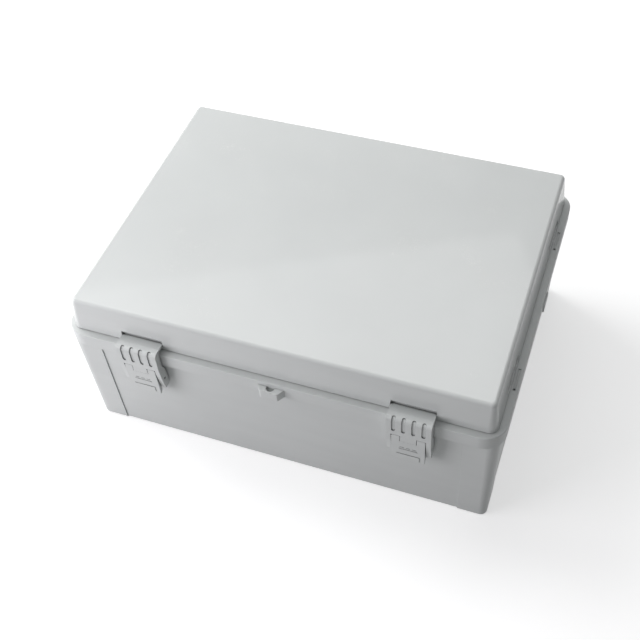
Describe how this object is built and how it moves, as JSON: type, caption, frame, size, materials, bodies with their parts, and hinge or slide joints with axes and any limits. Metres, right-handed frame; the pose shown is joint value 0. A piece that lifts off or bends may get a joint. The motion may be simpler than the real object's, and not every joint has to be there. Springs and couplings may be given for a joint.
{
  "type": "junction box",
  "caption": "Deep rectangular plastic junction box with a hinged, gasketed lid held by snap latches, a rim band with a sealing lug and a mounting plate inside.",
  "frame": {"origin": "centre of the rim outline, on the underside of the base", "axes": "+Z from the base towards the lid, +X along the long side, latches on -Y and hinges on +Y"},
  "size_m": [0.403, 0.3176, 0.165],
  "materials": {
    "base_plastic": "fine satin grey",
    "lid_plastic": "satin grey, soft reflections",
    "latch_plastic": "satin grey",
    "seal_rubber": "soft black foam rubber",
    "zinc_plate": "zinc plated",
    "fastener_steel": "plain stainless"
  },
  "bodies": {
    "base": {"base_shell": "base_plastic", "mounting_plate": "zinc_plate", "mounting_plate_washers": "fastener_steel", "mounting_plate_screws": "fastener_steel", "latch_pivot_pin_left": "fastener_steel", "latch_pivot_pin_right": "fastener_steel", "hinge_pin_left": "fastener_steel", "hinge_pin_right": "fastener_steel"},
    "lid": {"lid_shell": "lid_plastic", "lid_gasket": "seal_rubber", "hinge_leaf_left": "latch_plastic", "hinge_leaf_right": "latch_plastic", "hinge_screws_left": "fastener_steel", "hinge_screws_right": "fastener_steel"},
    "lever_left": {"latch_lever_left": "latch_plastic", "latch_link_pin_left": "fastener_steel"},
    "frame_left": {"latch_frame_left": "latch_plastic"},
    "lever_right": {"latch_lever_right": "latch_plastic", "latch_link_pin_right": "fastener_steel"},
    "frame_right": {"latch_frame_right": "latch_plastic"}
  },
  "joints": [
    {"name": "lid_hinge", "type": "hinge", "parent": "base", "child": "lid", "pos_m": [0, 0.1555, 0.1245], "axis": [-1, 0, 0], "range_deg": [0, 110]},
    {"name": "latch_lever_left", "type": "hinge", "parent": "base", "child": "lever_left", "pos_m": [-0.1234, -0.1515, 0.1102], "axis": [-1, 0, 0], "range_deg": [0, 90]},
    {"name": "latch_frame_left", "type": "hinge", "parent": "lever_left", "child": "frame_left", "pos_m": [-0.1234, -0.1515, 0.1005], "axis": [1, 0, 0], "range_deg": [0, 103.5]},
    {"name": "latch_lever_right", "type": "hinge", "parent": "base", "child": "lever_right", "pos_m": [0.1234, -0.1515, 0.1102], "axis": [-1, 0, 0], "range_deg": [0, 90]},
    {"name": "latch_frame_right", "type": "hinge", "parent": "lever_right", "child": "frame_right", "pos_m": [0.1234, -0.1515, 0.1005], "axis": [1, 0, 0], "range_deg": [0, 103.5]}
  ],
  "couplings": [
    {"joint": "latch_frame_left", "follows": "latch_lever_left", "ratio": 1.15},
    {"joint": "latch_frame_right", "follows": "latch_lever_right", "ratio": 1.15}
  ]
}
